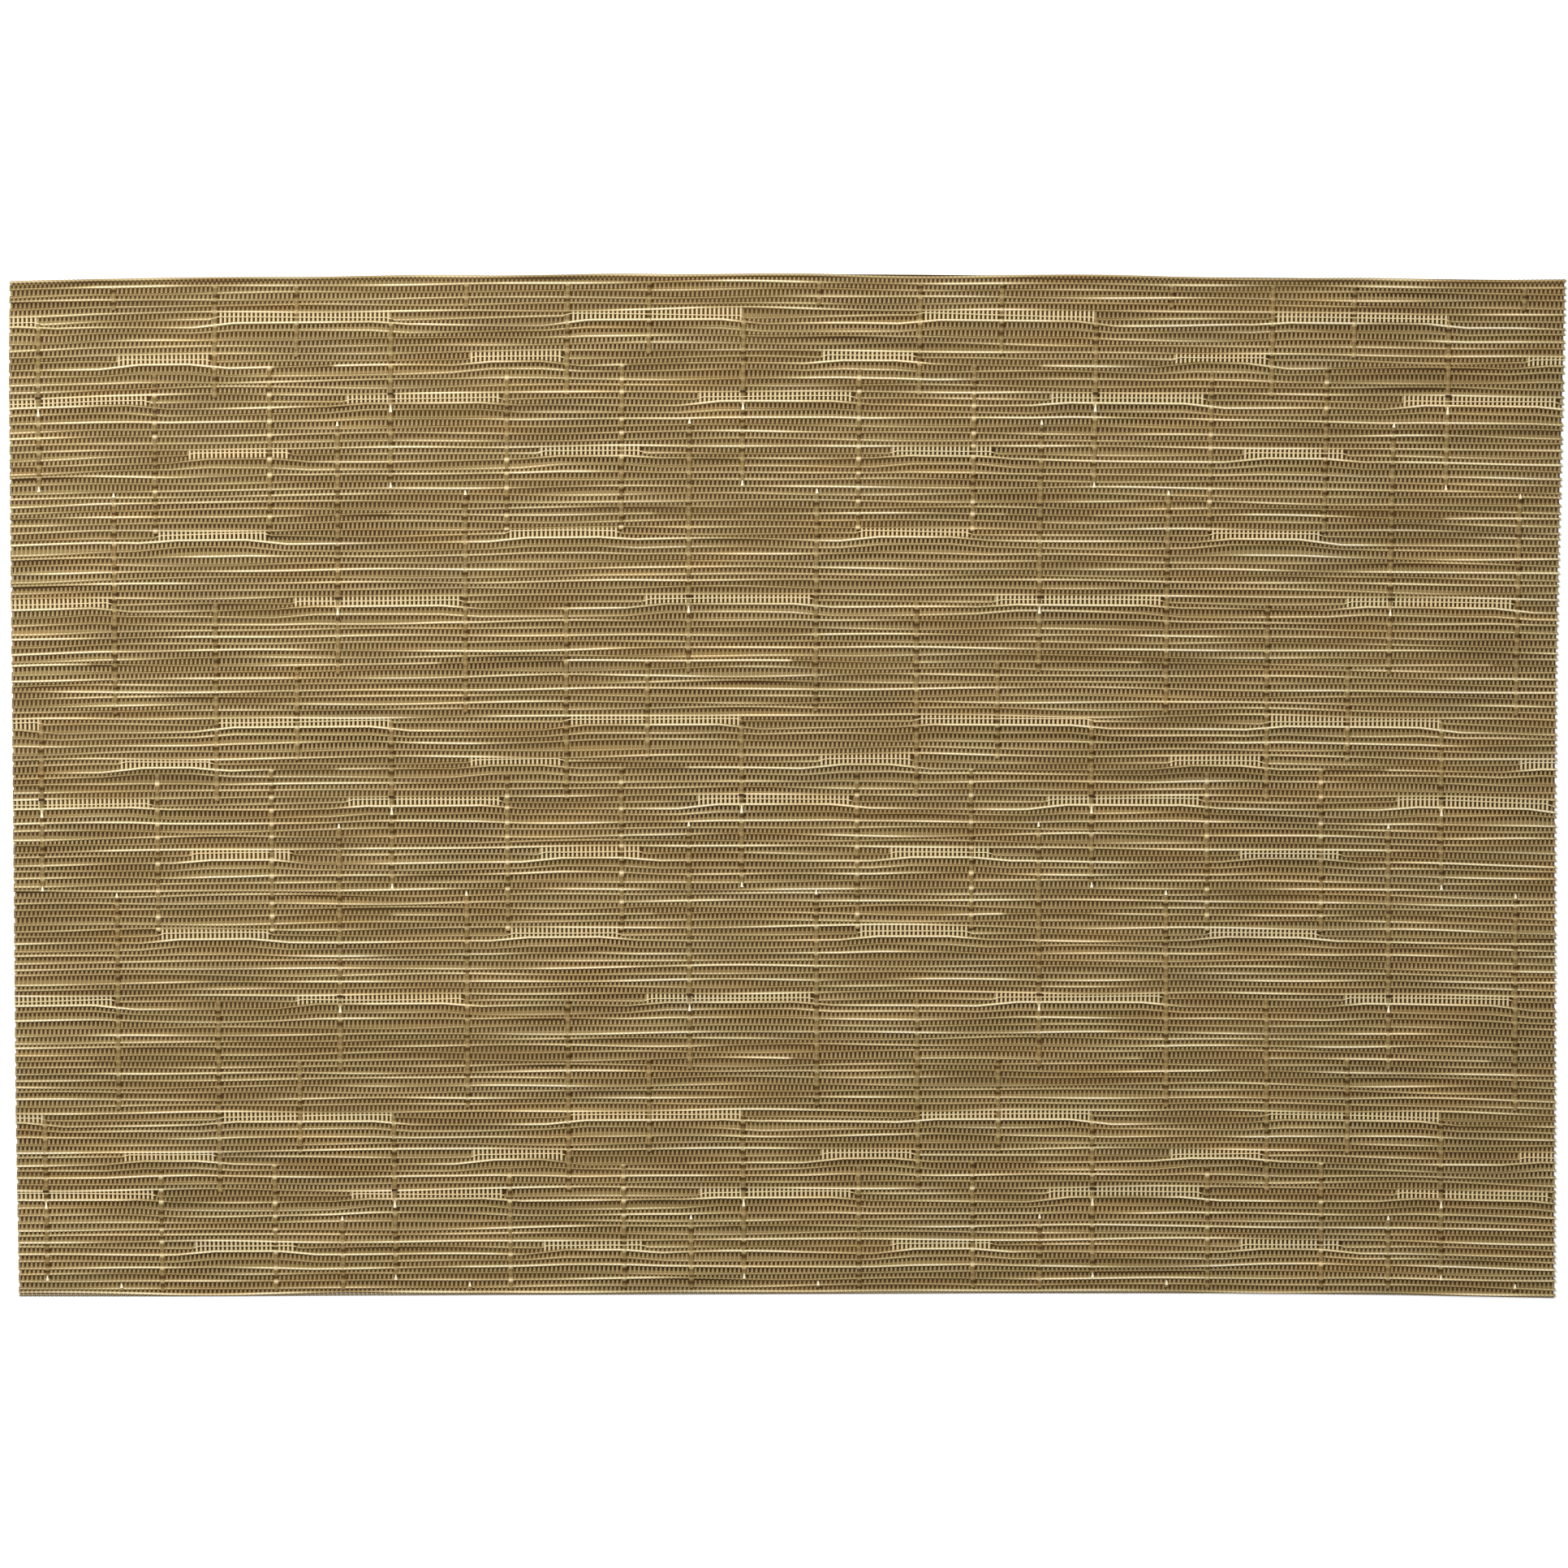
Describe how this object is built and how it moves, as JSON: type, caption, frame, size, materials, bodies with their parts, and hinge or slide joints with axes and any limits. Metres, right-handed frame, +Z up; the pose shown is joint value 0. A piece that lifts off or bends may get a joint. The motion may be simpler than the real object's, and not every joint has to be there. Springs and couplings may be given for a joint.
{
  "type": "woven placemat",
  "caption": "Flat rectangular table placemat of woven vinyl yarn with the look of split bamboo, ribbed along its length, with ladder-like windows in the weave and plain cut edges",
  "frame": {"origin": "middle of the underside of the mat, on the table it lies on", "axes": "+X runs along the ribs, the long way, +Y towards the far long edge, the top edge in the picture, +Z up out of the woven face"},
  "size_m": [0.4502, 0.299, 0.0013],
  "materials": {
    "vinyl_yarn": "satin vinyl-coated yarn, woven"
  },
  "bodies": {
    "root": {"mat": "vinyl_yarn"}
  },
  "joints": []
}
